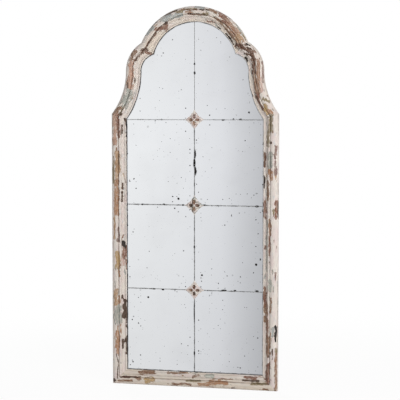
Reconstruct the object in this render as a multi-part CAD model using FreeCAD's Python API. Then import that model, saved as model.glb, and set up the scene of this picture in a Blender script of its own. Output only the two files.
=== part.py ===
import FreeCAD
import Part
import math
import os

# Arched wall mirror. Millimetres, +Z up, the mirror faces -Y, the wall is the plane y = 0.
# The origin lies on the wall, midway between the two hooks that carry the mirror.

# Outer edge of the frame, from the bottom corner up to the apex
overall_width = 895.0
shoulder_height = 1442.0
cove_rise = 224.0
ear_rise = 147.0
crest_rise = 187.0
ear_inset = 79.0
cusp_inset = 85.0

# Section of the moulding
moulding_width = 79.0
moulding_depth = 45.0
round_radius = 25.0
lip_thickness = 7.5
glass_rabbet_width = 12.0
board_rabbet_width = 14.0

# Glass, tape and backing board, stacked from the front
glass_thickness = 4.0
tape_thickness = 1.0
board_thickness = 6.0
board_recess = 2.0
straight_rows = 3
pane_gap = 2.0
pane_arris = 1.2
seam_drop = 4.0
seat_clearance = 0.8
tape_width = 22.0
tape_margin = 18.0

# Carved rosettes
rosette_reach = 53.0
rosette_waist = 30.0
rosette_height = 14.0
rosette_tip_height = 4.0
hollow_start = 7.0
hollow_length = 27.0
hollow_radius = 7.0

# Loose tenons in the mitres
tenon_length = 40.0
tenon_width = 24.0
tenon_thickness = 8.0
tenon_inset = 28.0
tenon_height = 20.0
tenon_clearance = 0.2

# Screws
screw_radius = 1.75
screw_head_radius = 3.6
screw_head_height = 2.2
screw_tip_length = 4.0
pilot_clearance = 0.1
board_screw_bite = 9.0
hanger_screw_bite = 18.0
rosette_screw_bite = 6.0

# Hangers and wall bumpers
hanger_drop = 102.0
wire_radius = 2.0
ring_half_width = 16.0
ring_corner_radius = 5.0
strap_thickness = 1.5
strap_width = 16.0
loop_clearance = 0.3
hanger_screw_gap = 6.0
hanger_screw_pitch = 15.0
hanger_inset = 26.0
bumper_radius = 11.0
bumper_edge_radius = 2.0
bumper_spread = 560.0
wall_clearance = 0.4

# Every cut runs past the solid that it cuts by this much
overrun = 5.0

# Where the beads and grooves of the section lie, as shares of the moulding's width and
# of its rise above the sight edge
groove_across_share = 0.475
bead_across_shares = (0.495, 0.585, 0.670)
bead_height_shares = (0.56, 0.83, 0.53)
cove_across_shares = (0.690, 0.780, 0.885)
cove_height_shares = (0.34, 0.11, 0.04)
lip_across_share = 0.945
lip_height_share = 0.17

# Where the screws sit along the pieces that they hold
side_screw_shares = (0.08, 0.36, 0.64, 0.92)
bottom_screw_shares = (-0.62, 0.0, 0.62)
crest_screw_shares = (-0.62, 0.0, 0.62)
tape_across_shares = (0.25, 0.75)

Vector = FreeCAD.Vector
sideways = Vector(1, 0, 0)
forward = Vector(0, -1, 0)
upward = Vector(0, 0, 1)

# Depths measured forward from the back of the frame
board_front = board_recess + board_thickness
glass_back = board_front + tape_thickness
glass_front = glass_back + glass_thickness
sight_height = glass_front + lip_thickness
face_rise = moulding_depth - sight_height

# Hanger heights; the bumpers keep the strap loops just clear of the wall
loop_radius = wire_radius + loop_clearance + strap_thickness
ring_reach = ring_corner_radius + ring_half_width
hook_rise = ring_reach - wire_radius
bumper_height = loop_radius + loop_radius + wall_clearance
frame_back = -bumper_height
hanger_height = shoulder_height - hanger_drop
base_z = -hanger_height - hook_rise

# Outline of the outer edge: a cove, an ear and the crest, each one arc
half_width = overall_width / 2
ear_half = half_width - ear_inset
cusp_half = ear_half - cusp_inset
ear_z = base_z + shoulder_height + cove_rise
apex_z = ear_z + ear_rise + crest_rise
cove_radius = (ear_inset ** 2 + cove_rise ** 2) / (2 * ear_inset)
ear_radius = (cusp_inset ** 2 + ear_rise ** 2) / (2 * cusp_inset)
crest_radius = (crest_rise ** 2 + cusp_half ** 2) / (2 * crest_rise)
cove_x = ear_half + cove_radius
ear_x = ear_half - ear_radius
crest_z = apex_z - crest_radius

glass_inset = moulding_width - glass_rabbet_width + seat_clearance
board_inset = moulding_width - glass_rabbet_width - board_rabbet_width + seat_clearance
board_screw_inset = moulding_width - glass_rabbet_width - board_rabbet_width / 2


def at(x, height, z):
    # a point by its height forward of the frame's back
    return Vector(x, frame_back - height, z)


def shoulder_at(inset):
    # corner between the straight side and the cove, for an outline moved inwards
    x = half_width - inset
    return Vector(x, 0, ear_z - math.sqrt((cove_radius + inset) ** 2 - (cove_x - x) ** 2))


def cusp_at(inset):
    # corner between the ear and the crest: where their two circles cross
    ear = ear_radius - inset
    crest = crest_radius - inset
    apart = math.hypot(ear_x, ear_z - crest_z)
    along = (crest ** 2 - ear ** 2 + apart ** 2) / (2 * apart)
    across = math.sqrt(crest ** 2 - along ** 2)
    direction = Vector(ear_x, 0, ear_z - crest_z) / apart
    return Vector(0, 0, crest_z) + direction * along + Vector(-direction.z, 0, direction.x) * across


def ear_angle_at(inset):
    cusp = cusp_at(inset)
    return math.atan2(cusp.z - ear_z, cusp.x - ear_x)


def cove_angle_at(inset):
    return math.asin((ear_z - shoulder_at(inset).z) / (cove_radius + inset))


def crest_angle_at(inset):
    # half of the crest's arc, measured from the upright
    cusp = cusp_at(inset)
    return math.atan2(cusp.x, cusp.z - crest_z)


def cove_point(inset, angle):
    radius = cove_radius + inset
    return Vector(cove_x - radius * math.cos(angle), 0, ear_z - radius * math.sin(angle))


def ear_point(inset, angle):
    radius = ear_radius - inset
    return Vector(ear_x + radius * math.cos(angle), 0, ear_z + radius * math.sin(angle))


def crest_point(inset, angle):
    radius = crest_radius - inset
    return Vector(radius * math.sin(angle), 0, crest_z + radius * math.cos(angle))


def line(start, end):
    return Part.makeLine(start, end)


def arc(start, middle, end):
    return Part.Arc(start, middle, end).toShape()


def face_of(edges):
    return Part.Face(Part.Wire(edges))


def mirrored(shape):
    return shape.mirror(Vector(0, 0, 0), sideways)


def outline_plate(inset, height, thickness):
    # a plate with the frame's outline moved inwards, its back at this height
    def turned(point, side):
        return at(side * point.x, height, point.z)

    shoulder = shoulder_at(inset)
    waist = cove_point(inset, 0)
    cusp = cusp_at(inset)
    foot = Vector(shoulder.x, 0, base_z + inset)
    cove_middle = cove_point(inset, cove_angle_at(inset) / 2)
    ear_middle = ear_point(inset, ear_angle_at(inset) / 2)
    apex = crest_point(inset, 0)
    edges = [line(turned(foot, -1), turned(foot, 1))]
    edges.append(line(turned(foot, 1), turned(shoulder, 1)))
    edges.append(arc(turned(shoulder, 1), turned(cove_middle, 1), turned(waist, 1)))
    edges.append(arc(turned(waist, 1), turned(ear_middle, 1), turned(cusp, 1)))
    edges.append(arc(turned(cusp, 1), turned(apex, 1), turned(cusp, -1)))
    edges.append(arc(turned(cusp, -1), turned(ear_middle, -1), turned(waist, -1)))
    edges.append(arc(turned(waist, -1), turned(cove_middle, -1), turned(shoulder, -1)))
    edges.append(line(turned(shoulder, -1), turned(foot, -1)))
    return face_of(edges).extrude(forward * thickness)


def section_face(corner, inward):
    # the moulding's section: outer round, groove, bead, groove, cove, lip and two rabbets
    def spot(across, height):
        return corner + inward * across + forward * height

    def shared(across_share, height_share):
        return spot(moulding_width * across_share, sight_height + face_rise * height_share)

    side_height = moulding_depth - round_radius
    groove = moulding_width * groove_across_share
    groove_height = side_height + math.sqrt(round_radius ** 2 - (groove - round_radius) ** 2)
    slant = round_radius * math.sqrt(0.5)
    bead = [shared(*shares) for shares in zip(bead_across_shares, bead_height_shares)]
    cove = [shared(*shares) for shares in zip(cove_across_shares, cove_height_shares)]
    lip = shared(lip_across_share, lip_height_share)
    side_top = spot(0, side_height)
    round_middle = spot(round_radius - slant, side_height + slant)
    round_end = spot(groove, groove_height)
    sight = spot(moulding_width, sight_height)
    glass_edge = moulding_width - glass_rabbet_width
    board_edge = glass_edge - board_rabbet_width
    rabbets = [sight, spot(moulding_width, glass_front), spot(glass_edge, glass_front),
               spot(glass_edge, board_front), spot(board_edge, board_front), spot(board_edge, 0), corner]
    edges = [line(corner, side_top), arc(side_top, round_middle, round_end)]
    edges += [line(round_end, bead[0]), arc(*bead), line(bead[2], cove[0]), arc(*cove)]
    edges += [arc(cove[2], lip, sight)]
    edges += [line(start, end) for start, end in zip(rabbets, rabbets[1:])]
    return face_of(edges)


def mitre_at(corner_at):
    # the mitre's outer corner, its direction inwards and its normal up along the frame
    outer = corner_at(0)
    along = (corner_at(moulding_width) - outer).normalize()
    return Vector(outer.x, frame_back, outer.z), along, along.cross(forward)


def foot_at(inset):
    return Vector(half_width - inset, 0, base_z + inset)


def trimmer(mitre, side):
    # a round block on one side of a mitre, to cut a member to length
    corner, along, normal = mitre
    size = 4 * moulding_width
    centre = corner + along * (moulding_width / 2)
    return Part.makeCylinder(size, size, centre, normal * side)


def slot_face(centre, along, across, length, width):
    # a strip with round ends
    radius = width / 2
    run = along * (length / 2 - radius)
    cap = along * (length / 2)
    rise = across * radius
    return face_of([
        line(centre - run + rise, centre + run + rise),
        arc(centre + run + rise, centre + cap, centre + run - rise),
        line(centre + run - rise, centre - run - rise),
        arc(centre - run - rise, centre - cap, centre - run + rise)])


def tenon(mitre, clearance):
    # a loose tenon across a mitre; with a clearance it is the mortise for it
    corner, along, normal = mitre
    middle = along * (tenon_inset / abs(along.x)) + forward * tenon_height
    half = tenon_length / 2 + clearance
    face = slot_face(corner + middle - normal * half, along, forward,
                     tenon_width + 2 * clearance, tenon_thickness + 2 * clearance)
    return face.extrude(normal * (2 * half))


def turned_solid(seat, spots):
    # a solid turned about the line through the seat, from pairs of radius and rise off the back
    points = [seat + sideways * radius - forward * rise for radius, rise in spots]
    return Part.Face(Part.makePolygon(points)).revolve(seat, forward, 360)


def screw(seat, length):
    # a pan-head screw driven forward, its head resting on the seat
    return turned_solid(seat, (
        (0, -length), (screw_radius, screw_tip_length - length), (screw_radius, 0),
        (screw_head_radius, 0), (screw_head_radius, screw_head_height), (0, screw_head_height),
        (0, -length)))


def screw_hole(seat, length):
    # a pilot hole for that screw
    radius = screw_radius + pilot_clearance
    return Part.makeCylinder(radius, length + pilot_clearance, seat, forward)


def cut_all(shape, cutters):
    return shape.cut(cutters) if cutters else shape


def touching(cutters, shape):
    # the cutters that reach into this shape
    box = shape.BoundBox
    return [cutter for cutter in cutters if box.intersect(cutter.BoundBox)]


# Frame members, each cut to length at its mitres
foot_mitre = mitre_at(foot_at)
shoulder_mitre = mitre_at(shoulder_at)
cusp_mitre = mitre_at(cusp_at)

stile_foot = Vector(half_width, frame_back, base_z - overrun)
stile_run = upward * (shoulder_height + moulding_width)
right_stile = section_face(stile_foot, -sideways).extrude(stile_run)
right_stile = right_stile.cut([trimmer(foot_mitre, -1), trimmer(shoulder_mitre, 1)])

rail_end = Vector(-half_width - overrun, frame_back, base_z)
rail_run = sideways * (overall_width + 2 * overrun)
bottom_rail = section_face(rail_end, upward).extrude(rail_run)
bottom_rail = bottom_rail.cut([trimmer(foot_mitre, 1), mirrored(trimmer(foot_mitre, 1))])

waist_face = section_face(Vector(ear_half, frame_back, ear_z), -sideways)
cove_sweep = math.degrees(max(cove_angle_at(0), cove_angle_at(moulding_width)) + overrun / ear_radius)
ear_sweep = math.degrees(max(ear_angle_at(0), ear_angle_at(moulding_width)) + overrun / ear_radius)
cove_part = waist_face.revolve(Vector(cove_x, 0, ear_z), -forward, -cove_sweep)
ear_part = waist_face.revolve(Vector(ear_x, 0, ear_z), -forward, -ear_sweep)
right_shoulder = cove_part.cut(trimmer(shoulder_mitre, -1)).fuse(ear_part.cut(trimmer(cusp_mitre, 1)))

crest_face = section_face(Vector(0, frame_back, apex_z), -upward)
crest_sweep = math.degrees(max(crest_angle_at(0), crest_angle_at(moulding_width)) + overrun / ear_radius)
crest_half = crest_face.revolve(Vector(0, 0, crest_z), -forward, crest_sweep)
crest_half = crest_half.cut(trimmer(cusp_mitre, -1))
top_arch = crest_half.fuse(mirrored(crest_half))

# Seams between the panes; the lowest pane stands in the bottom rabbet
first_seam = shoulder_at(moulding_width).z - seam_drop
pane_bottom = base_z + glass_inset
pane_pitch = (first_seam - pane_bottom) / straight_rows
seams = [first_seam - row * pane_pitch for row in range(straight_rows)]

# Loose tenons across the six mitres
mitres = (foot_mitre, shoulder_mitre, cusp_mitre)
right_tenons = [tenon(mitre, 0) for mitre in mitres]
right_mortises = [tenon(mitre, tenon_clearance) for mitre in mitres]
tenons = right_tenons + [mirrored(shape) for shape in right_tenons]
cutters = right_mortises + [mirrored(shape) for shape in right_mortises]

# Hangers: a strap folded round the bar of a D-shaped ring, on the back of each stile
ring_axis = Vector(half_width - hanger_inset, frame_back + loop_radius, base_z + hanger_height)
strap_top = Vector(ring_axis.x, frame_back, ring_axis.z)
first_screw_drop = ring_reach + wire_radius + screw_head_radius + hanger_screw_gap
strap_length = first_screw_drop + hanger_screw_pitch + strap_width / 2
strap_half = strap_width / 2
end_run = strap_length - strap_half
strap_face = face_of([
    line(strap_top - sideways * strap_half, strap_top + sideways * strap_half),
    line(strap_top + sideways * strap_half, strap_top + sideways * strap_half - upward * end_run),
    arc(strap_top + sideways * strap_half - upward * end_run, strap_top - upward * strap_length,
        strap_top - sideways * strap_half - upward * end_run),
    line(strap_top - sideways * strap_half - upward * end_run, strap_top - sideways * strap_half)])
loop_start = ring_axis - sideways * strap_half
loop = Part.makeCylinder(loop_radius, strap_width, loop_start, sideways)
loop_bore = Part.makeCylinder(wire_radius + loop_clearance, strap_width, loop_start, sideways)
right_strap = strap_face.extrude(forward * -strap_thickness).fuse(loop).cut(loop_bore)
hanger_screws = []
for drop in (first_screw_drop, first_screw_drop + hanger_screw_pitch):
    seat = strap_top - upward * drop - forward * strap_thickness
    right_strap = right_strap.cut(screw_hole(seat, strap_thickness + overrun))
    hanger_screws.append((seat, strap_thickness + hanger_screw_bite))

bar_half = ring_half_width - ring_corner_radius
bar_start = ring_axis - sideways * bar_half
bar = Part.makeCylinder(wire_radius, 2 * bar_half, bar_start, sideways)
bend_centre = bar_start - upward * ring_corner_radius
bar_end = Part.Face(Part.Wire(Part.makeCircle(wire_radius, bar_start, sideways)))
left_bend = bar_end.revolve(bend_centre, forward, 90)
bow_centre = ring_axis - upward * ring_corner_radius
bow_start = bow_centre - sideways * ring_half_width
bow_end = Part.Face(Part.Wire(Part.makeCircle(wire_radius, bow_start, upward)))
bow = bow_end.revolve(bow_centre, forward, 180)
right_bend = left_bend.mirror(ring_axis, sideways)
right_ring = bar.fuse([left_bend, bow, right_bend])

# Rubber bumpers on the bottom rail keep the mirror upright against the wall
bumper_centre = Vector(bumper_spread / 2, frame_back, base_z + hanger_inset)
right_bumper = turned_solid(bumper_centre, (
    (0, 0), (bumper_radius, 0), (bumper_radius, bumper_height - bumper_edge_radius),
    (bumper_radius - bumper_edge_radius, bumper_height), (0, bumper_height), (0, 0)))

# Screws that hold the backing board in its rabbet
side_run = first_seam - base_z
board_screw_spots = [Vector(half_width - board_screw_inset, 0, base_z + share * side_run)
                     for share in side_screw_shares]
board_screw_spots.append(cove_point(board_screw_inset, cove_angle_at(board_screw_inset) / 2))
board_screw_spots.append(ear_point(board_screw_inset, ear_angle_at(board_screw_inset) / 2))
board_screw_spots += [Vector(-spot.x, 0, spot.z) for spot in board_screw_spots]
board_screw_spots += [Vector(share * half_width, 0, base_z + board_screw_inset)
                      for share in bottom_screw_shares]
board_screw_spots += [crest_point(board_screw_inset, share * crest_angle_at(board_screw_inset))
                      for share in crest_screw_shares]
board_screw_seats = [at(spot.x, board_recess, spot.z) for spot in board_screw_spots]
board_screw_length = board_thickness + board_screw_bite
rosette_seats = [at(0, board_recess, seam) for seam in seams]
rosette_screw_length = glass_front - board_recess + rosette_screw_bite

hanger_screws += [(Vector(-seat.x, seat.y, seat.z), length) for seat, length in hanger_screws]
board_screws = [(seat, board_screw_length) for seat in board_screw_seats]
rosette_screws = [(seat, rosette_screw_length) for seat in rosette_seats]
cutters += [screw_hole(*place) for place in hanger_screws + board_screws]

# Glass: one plate, grooved along the seams and parted into panes
glass = outline_plate(glass_inset, glass_back, glass_thickness)
glass_side = half_width - glass_inset
arris_reach = pane_gap / 2 + pane_arris


def seam_groove(start, run, across):
    # the V that takes the sharp edge off both panes along a seam
    rim = forward * glass_front
    floor = forward * (glass_front - arris_reach)
    edge = across * arris_reach
    corners = [start + rim - edge, start + floor, start + rim + edge, start + rim - edge]
    return Part.Face(Part.makePolygon(corners)).extrude(run)


wide = sideways * overall_width
tall = upward * (apex_z - base_z)
grooves = [seam_groove(Vector(-half_width, frame_back, seam), wide, upward) for seam in seams]
grooves.append(seam_groove(Vector(0, frame_back, base_z), tall, sideways))
hole_radius = screw_radius + seat_clearance
pane_holes = [Part.makeCylinder(hole_radius, glass_front, seat, forward) for seat in rosette_seats]
glass = glass.cut(grooves + pane_holes)


def pane(low, high):
    # the right-hand pane between two heights
    corner = at(pane_gap / 2, glass_front + overrun, low)
    cell = Part.makeBox(half_width, glass_thickness + 2 * overrun, high - low, corner)
    return glass.common(cell)


half_gap = pane_gap / 2
pane_names = ("top", "upper", "lower", "bottom")
pane_tops = [apex_z] + [seam - half_gap for seam in seams]
pane_floors = [seam + half_gap for seam in seams] + [base_z]
right_panes = [pane(low, high) for low, high in zip(pane_floors, pane_tops)]

# Tape strips between the panes and the board
tape_area = outline_plate(glass_inset + tape_margin, board_front, tape_thickness)
tape_strips = []
for low, high in zip(pane_floors, pane_tops):
    for share in tape_across_shares:
        corner = at(share * glass_side - tape_width / 2, glass_back, low + tape_margin)
        run = high - low - 2 * tape_margin
        strip = Part.makeBox(tape_width, tape_thickness, run, corner).common(tape_area)
        tape_strips.append(strip)
        tape_strips.append(mirrored(strip))

backing_board = outline_plate(board_inset, board_recess, board_thickness)
board_holes = [screw_hole(seat, board_thickness + overrun) for seat in board_screw_seats + rosette_seats]
backing_board = backing_board.cut(board_holes)


def rosette(seam):
    # four pointed petals on a low dome, each with a cupped hollow
    centre = at(0, glass_front, seam)
    ways = (sideways, upward, -sideways, -upward)
    edges = []
    hollows = []
    for way, turn in zip(ways, ways[1:] + ways[:1]):
        waist = (way + turn).normalize() * rosette_waist
        edges.append(arc(centre + way * rosette_reach, centre + waist, centre + turn * rosette_reach))
        top = centre + forward * rosette_height
        start = top + way * hollow_start
        end = start + way * hollow_length
        deepest = (start + end) / 2 - forward * hollow_radius
        bowl = face_of([arc(start, deepest, end), line(end, start)])
        hollows.append(bowl.revolve(start, way, 360))
    drop = rosette_height - rosette_tip_height
    dome_radius = (rosette_reach ** 2 + drop ** 2) / (2 * drop)
    dome = Part.makeSphere(dome_radius, centre + forward * (rosette_height - dome_radius))
    pilot = screw_hole(centre, rosette_screw_bite)
    body = face_of(edges).extrude(forward * rosette_height).common(dome)
    return body.cut(hollows + [pilot])


members = {
    "left_stile": mirrored(right_stile), "right_stile": right_stile, "bottom_rail": bottom_rail,
    "left_shoulder": mirrored(right_shoulder), "right_shoulder": right_shoulder, "top_arch": top_arch}
nodes = {name: [cut_all(shape, touching(cutters, shape))] for name, shape in members.items()}
for name, shape in zip(pane_names, right_panes):
    nodes[name + "_pane_left"] = [mirrored(shape)]
    nodes[name + "_pane_right"] = [shape]
for name, seam in zip(("upper", "middle", "lower"), seams):
    nodes[name + "_rosette"] = [rosette(seam)]
nodes["backing_board"] = [backing_board]
nodes["mounting_tape"] = tape_strips
nodes["mitre_tenons"] = tenons
nodes["board_screws"] = [screw(*place) for place in board_screws]
nodes["rosette_screws"] = [screw(*place) for place in rosette_screws]
nodes["left_hanger_strap"] = [mirrored(right_strap)]
nodes["right_hanger_strap"] = [right_strap]
nodes["left_hanger_ring"] = [mirrored(right_ring)]
nodes["right_hanger_ring"] = [right_ring]
nodes["hanger_screws"] = [screw(*place) for place in hanger_screws]
nodes["left_bumper"] = [mirrored(right_bumper)]
nodes["right_bumper"] = [right_bumper]

os.makedirs("parts", exist_ok=True)
for name, shapes in nodes.items():
    solids = [solid for shape in shapes for solid in shape.Solids]
    node = solids[0] if len(solids) == 1 else Part.makeCompound(solids)
    node.exportStep("parts/" + name + ".step")
    print(name, len(solids), "solids, valid", node.isValid())
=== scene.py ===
import bpy
import cmath
import math
import numpy as np
from mathutils import Matrix, Vector, noise


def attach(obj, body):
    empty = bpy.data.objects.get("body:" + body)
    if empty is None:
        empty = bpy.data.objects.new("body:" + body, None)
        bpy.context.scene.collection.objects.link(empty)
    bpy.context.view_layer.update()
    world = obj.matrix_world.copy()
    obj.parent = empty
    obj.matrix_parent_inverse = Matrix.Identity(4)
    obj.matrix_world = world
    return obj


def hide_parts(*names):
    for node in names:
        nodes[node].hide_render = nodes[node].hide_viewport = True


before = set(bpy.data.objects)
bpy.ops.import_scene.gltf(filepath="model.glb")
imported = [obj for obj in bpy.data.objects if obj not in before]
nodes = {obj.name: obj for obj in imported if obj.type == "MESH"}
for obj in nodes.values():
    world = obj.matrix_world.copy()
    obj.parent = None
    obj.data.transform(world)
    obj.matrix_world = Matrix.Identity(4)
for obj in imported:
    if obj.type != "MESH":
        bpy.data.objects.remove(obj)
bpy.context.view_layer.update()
bpy.ops.object.select_all(action="DESELECT")
print("frame loaded:", len(nodes), "nodes")

# the mirror's own sizes, in metres, as the solid part has them
mirror = {
    "halfWidth": 0.4475,
    "baseZ": -1.359,
    "shoulderZ": 0.083,
    "coveRise": 0.224,
    "earRise": 0.147,
    "crestRise": 0.187,
    "earInset": 0.079,
    "cuspInset": 0.085,
    "mouldingWidth": 0.079,
    "backY": -0.008,
    "glassY": -0.021,
    "boardFrontY": -0.016,
    "seams": (0.0527, -0.3953, -0.8432),
}
halfWidth = mirror["halfWidth"]
baseZ = mirror["baseZ"]
mouldingWidth = mirror["mouldingWidth"]
earZ = mirror["shoulderZ"] + mirror["coveRise"]
cuspZ = earZ + mirror["earRise"]
apexZ = cuspZ + mirror["crestRise"]
earX = halfWidth - mirror["earInset"]
cuspX = earX - mirror["cuspInset"]


def arcRadius(depth, run):
    # of an arc that leaves its tangent by a depth over a run
    return (depth ** 2 + run ** 2) / (2 * depth)


coveRadius = arcRadius(mirror["earInset"], mirror["coveRise"])
earRadius = arcRadius(mirror["cuspInset"], mirror["earRise"])
crestRadius = arcRadius(mirror["crestRise"], cuspX)
coveCentre = (earX + coveRadius, earZ)
earCentre = (earX - earRadius, earZ)
crestCentre = (0.0, apexZ - crestRadius)

# where the photograph was taken from, found from its seams and outline
photoCamera = {
    "place": (1.690, -6.857, 0.145),
    "tilt": 85.838,
    "turn": 13.648,
    "lens": 121.2,
    "sensor": 36,
    "pixels": 400,
    "clipEnd": 200,
}
bpy.ops.object.camera_add(
    location=photoCamera["place"],
    rotation=(math.radians(photoCamera["tilt"]), 0, math.radians(photoCamera["turn"])),
)
camera = bpy.context.object
camera.data.lens = photoCamera["lens"]
camera.data.sensor_width = photoCamera["sensor"]
camera.data.clip_end = photoCamera["clipEnd"]
camera.data.dof.use_dof = False
bpy.context.scene.camera = camera
bpy.context.view_layer.update()
cameraInverse = np.array(camera.matrix_world.inverted())
focalPixels = photoCamera["lens"] / photoCamera["sensor"] * photoCamera["pixels"]
middlePixel = photoCamera["pixels"] / 2


def pixelsOf(places):
    # where points of the object land in the photograph
    local = places @ cameraInverse[:3, :3].T + cameraInverse[:3, 3]
    shiftX = focalPixels * local[:, 0] / local[:, 2]
    shiftY = focalPixels * local[:, 1] / local[:, 2]
    return np.stack((middlePixel - shiftX, middlePixel + shiftY), 1)


def glassSpot(pixelX, pixelY):
    # the place on the glass that lies behind a pixel of the photograph
    start = camera.matrix_world.translation
    local = Vector(((pixelX - middlePixel) / focalPixels, (middlePixel - pixelY) / focalPixels, -1))
    ray = camera.matrix_world.to_3x3() @ local
    return start + ray * ((mirror["glassY"] - start.y) / ray.y)


def linear(red, green, blue):
    # a colour as a paint chart gives it, 0 to 255, as a shader wants it
    share = [channel / 255 for channel in (red, green, blue)]
    return tuple(s / 12.92 if s <= 0.04045 else ((s + 0.055) / 1.055) ** 2.4 for s in share)


def smooth(low, high, values):
    share = np.clip((values - low) / (high - low), 0, 1)
    return share * share * (3 - 2 * share)


def deselectAll():
    bpy.ops.object.select_all(action="DESELECT")


def goTo(mode):
    bpy.ops.object.mode_set(mode=mode)


def makeActive(piece):
    deselectAll()
    piece.select_set(True)
    bpy.context.view_layer.objects.active = piece


def choose(piece, kind, test):
    # selects the vertices, edges or polygons that the test accepts and goes on in edit mode
    goTo("OBJECT")
    kinds = ("vertices", "edges", "polygons")
    groups = {name: getattr(piece.data, name) for name in kinds}
    for name, group in groups.items():
        group.foreach_set("select", [name == kind and bool(test(part)) for part in group])
    if kind == "vertices":  # what lies between chosen vertices goes with them
        chosen = [vertex.select for vertex in groups["vertices"]]
        for name in ("edges", "polygons"):
            between = [all(chosen[index] for index in part.vertices) for part in groups[name]]
            groups[name].foreach_set("select", between)
    bpy.context.tool_settings.mesh_select_mode = [name == kind for name in kinds]
    goTo("EDIT")


sameSpot = 0.00001  # nearer points are one
sameWay = 0.7  # a face with more of its normal along an axis looks that way


def looksBack(face):
    return face.normal.y > sameWay


def looksForward(face):
    return face.normal.y < -sameWay


def cleanUp(piece, angle=40):
    # merged, facing outwards and shaded
    if piece.mode != "EDIT":
        goTo("EDIT")
    bpy.ops.mesh.select_mode(type="VERT")
    bpy.ops.mesh.select_all(action="SELECT")
    bpy.ops.mesh.remove_doubles(threshold=sameSpot)
    bpy.ops.mesh.normals_make_consistent(inside=False)
    goTo("OBJECT")
    bpy.ops.object.shade_smooth_by_angle(angle=math.radians(angle))


def giveMaterial(piece, material):
    piece.data.materials.clear()
    piece.data.materials.append(material)


def finishPiece(piece, replaced):
    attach(piece, "mirror")
    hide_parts(replaced)


# node helpers: they work in the tree that was started last

def put(kind, **settings):
    node = tree.nodes.new("ShaderNode" + kind)
    for name, value in settings.items():
        setattr(node, name, value)
    return node


def feed(value, socket):
    # a socket is linked, a number or colour is set
    if isinstance(value, bpy.types.NodeSocket):
        tree.links.new(value, socket)
    elif socket.type == "RGBA":
        socket.default_value = (*value, 1)
    else:
        socket.default_value = value


def wire(node, *values):
    # feeds a node's inputs in their order and gives its first output
    for value, socket in zip(values, node.inputs):
        feed(value, socket)
    return node.outputs[0]


def calc(operation, *values, clamp=False):
    return wire(put("Math", operation=operation, use_clamp=clamp), *values)


def times(first, second):
    return calc("MULTIPLY", first, second)


def minus(first, second):
    return calc("SUBTRACT", first, second)


def vectorCalc(operation, *values):
    return wire(put("VectorMath", operation=operation), *values)


def stretch(place, factors):
    return vectorCalc("MULTIPLY", place, factors)


def lengthOf(place):
    node = put("VectorMath", operation="LENGTH")
    wire(node, place)
    return node.outputs["Value"]


def axesOf(place):
    node = put("SeparateXYZ")
    wire(node, place)
    return node.outputs


def rescale(value, low, high, newLow=0.0, newHigh=1.0):
    return wire(put("MapRange", interpolation_type="SMOOTHSTEP"), value, low, high, newLow, newHigh)


def pickBetween(test, low, high):
    # one number or the other, by a test that is 0 or 1
    node = put("Mix", data_type="FLOAT")
    for index, value in ((0, test), (2, low), (3, high)):
        feed(value, node.inputs[index])
    return node.outputs[0]


def blend(share, first, second, way="MIX"):
    node = put("Mix", data_type="RGBA", blend_type=way)
    for index, value in ((0, share), (6, first), (7, second)):
        feed(value, node.inputs[index])
    return node.outputs[2]


def cloud(place, scale, detail=4.0, rough=0.55, output="Fac"):
    node = put("TexNoise")
    feed(place, node.inputs["Vector"])
    feed(scale, node.inputs["Scale"])
    feed(detail, node.inputs["Detail"])
    feed(rough, node.inputs["Roughness"])
    return node.outputs[output]


def patches(place, scale, detail, low, high, least=0.0, most=1.0, rough=0.55):
    # cloudy patches: the least below one level of the noise, the most above the other
    return rescale(cloud(place, scale, detail, rough), low, high, least, most)


def ramp(value, stops):
    # colours along a value, each with the value it stands at
    first = stops[0][0]
    last = stops[-1][0]
    node = put("ValToRGB")
    elements = node.color_ramp.elements
    elements.remove(elements[1])
    for number, (at, colour) in enumerate(stops):
        share = (at - first) / (last - first)
        stop = elements.new(share) if number else elements[0]
        stop.position = share
        stop.color = (*colour, 1)
    return wire(node, wire(put("MapRange"), value, first, last))


def bump(height, strength, distance):
    node = put("Bump")
    feed(strength, node.inputs["Strength"])
    feed(distance, node.inputs["Distance"])
    feed(height, node.inputs["Height"])
    return node.outputs[0]


def objectPlace():
    return put("TexCoord").outputs["Object"]


def attribute(name, output):
    return put("Attribute", attribute_name=name).outputs[output]


def newGroup(name, inputs, outputs):
    global tree
    tree = bpy.data.node_groups.new(name, "ShaderNodeTree")
    for way, sockets in (("INPUT", inputs), ("OUTPUT", outputs)):
        for label, kind in sockets.items():
            tree.interface.new_socket(label, in_out=way, socket_type="NodeSocket" + kind)
    return tree, tree.nodes.new("NodeGroupInput").outputs, tree.nodes.new("NodeGroupOutput").inputs


def useGroup(group, **values):
    node = put("Group", node_tree=group)
    for name, value in values.items():
        feed(value, node.inputs[name])
    return node.outputs


def newMaterial(name, **settings):
    global tree
    material = bpy.data.materials.new(name)
    material.use_nodes = True
    tree = material.node_tree
    shader = tree.nodes["Principled BSDF"].inputs
    for label, value in settings.items():
        feed(value, shader[label])
    return material, shader


def dress(shader, colour, height, relief):
    feed(colour, shader["Base Color"])
    feed(bump(height, *relief), shader["Normal"])


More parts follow.
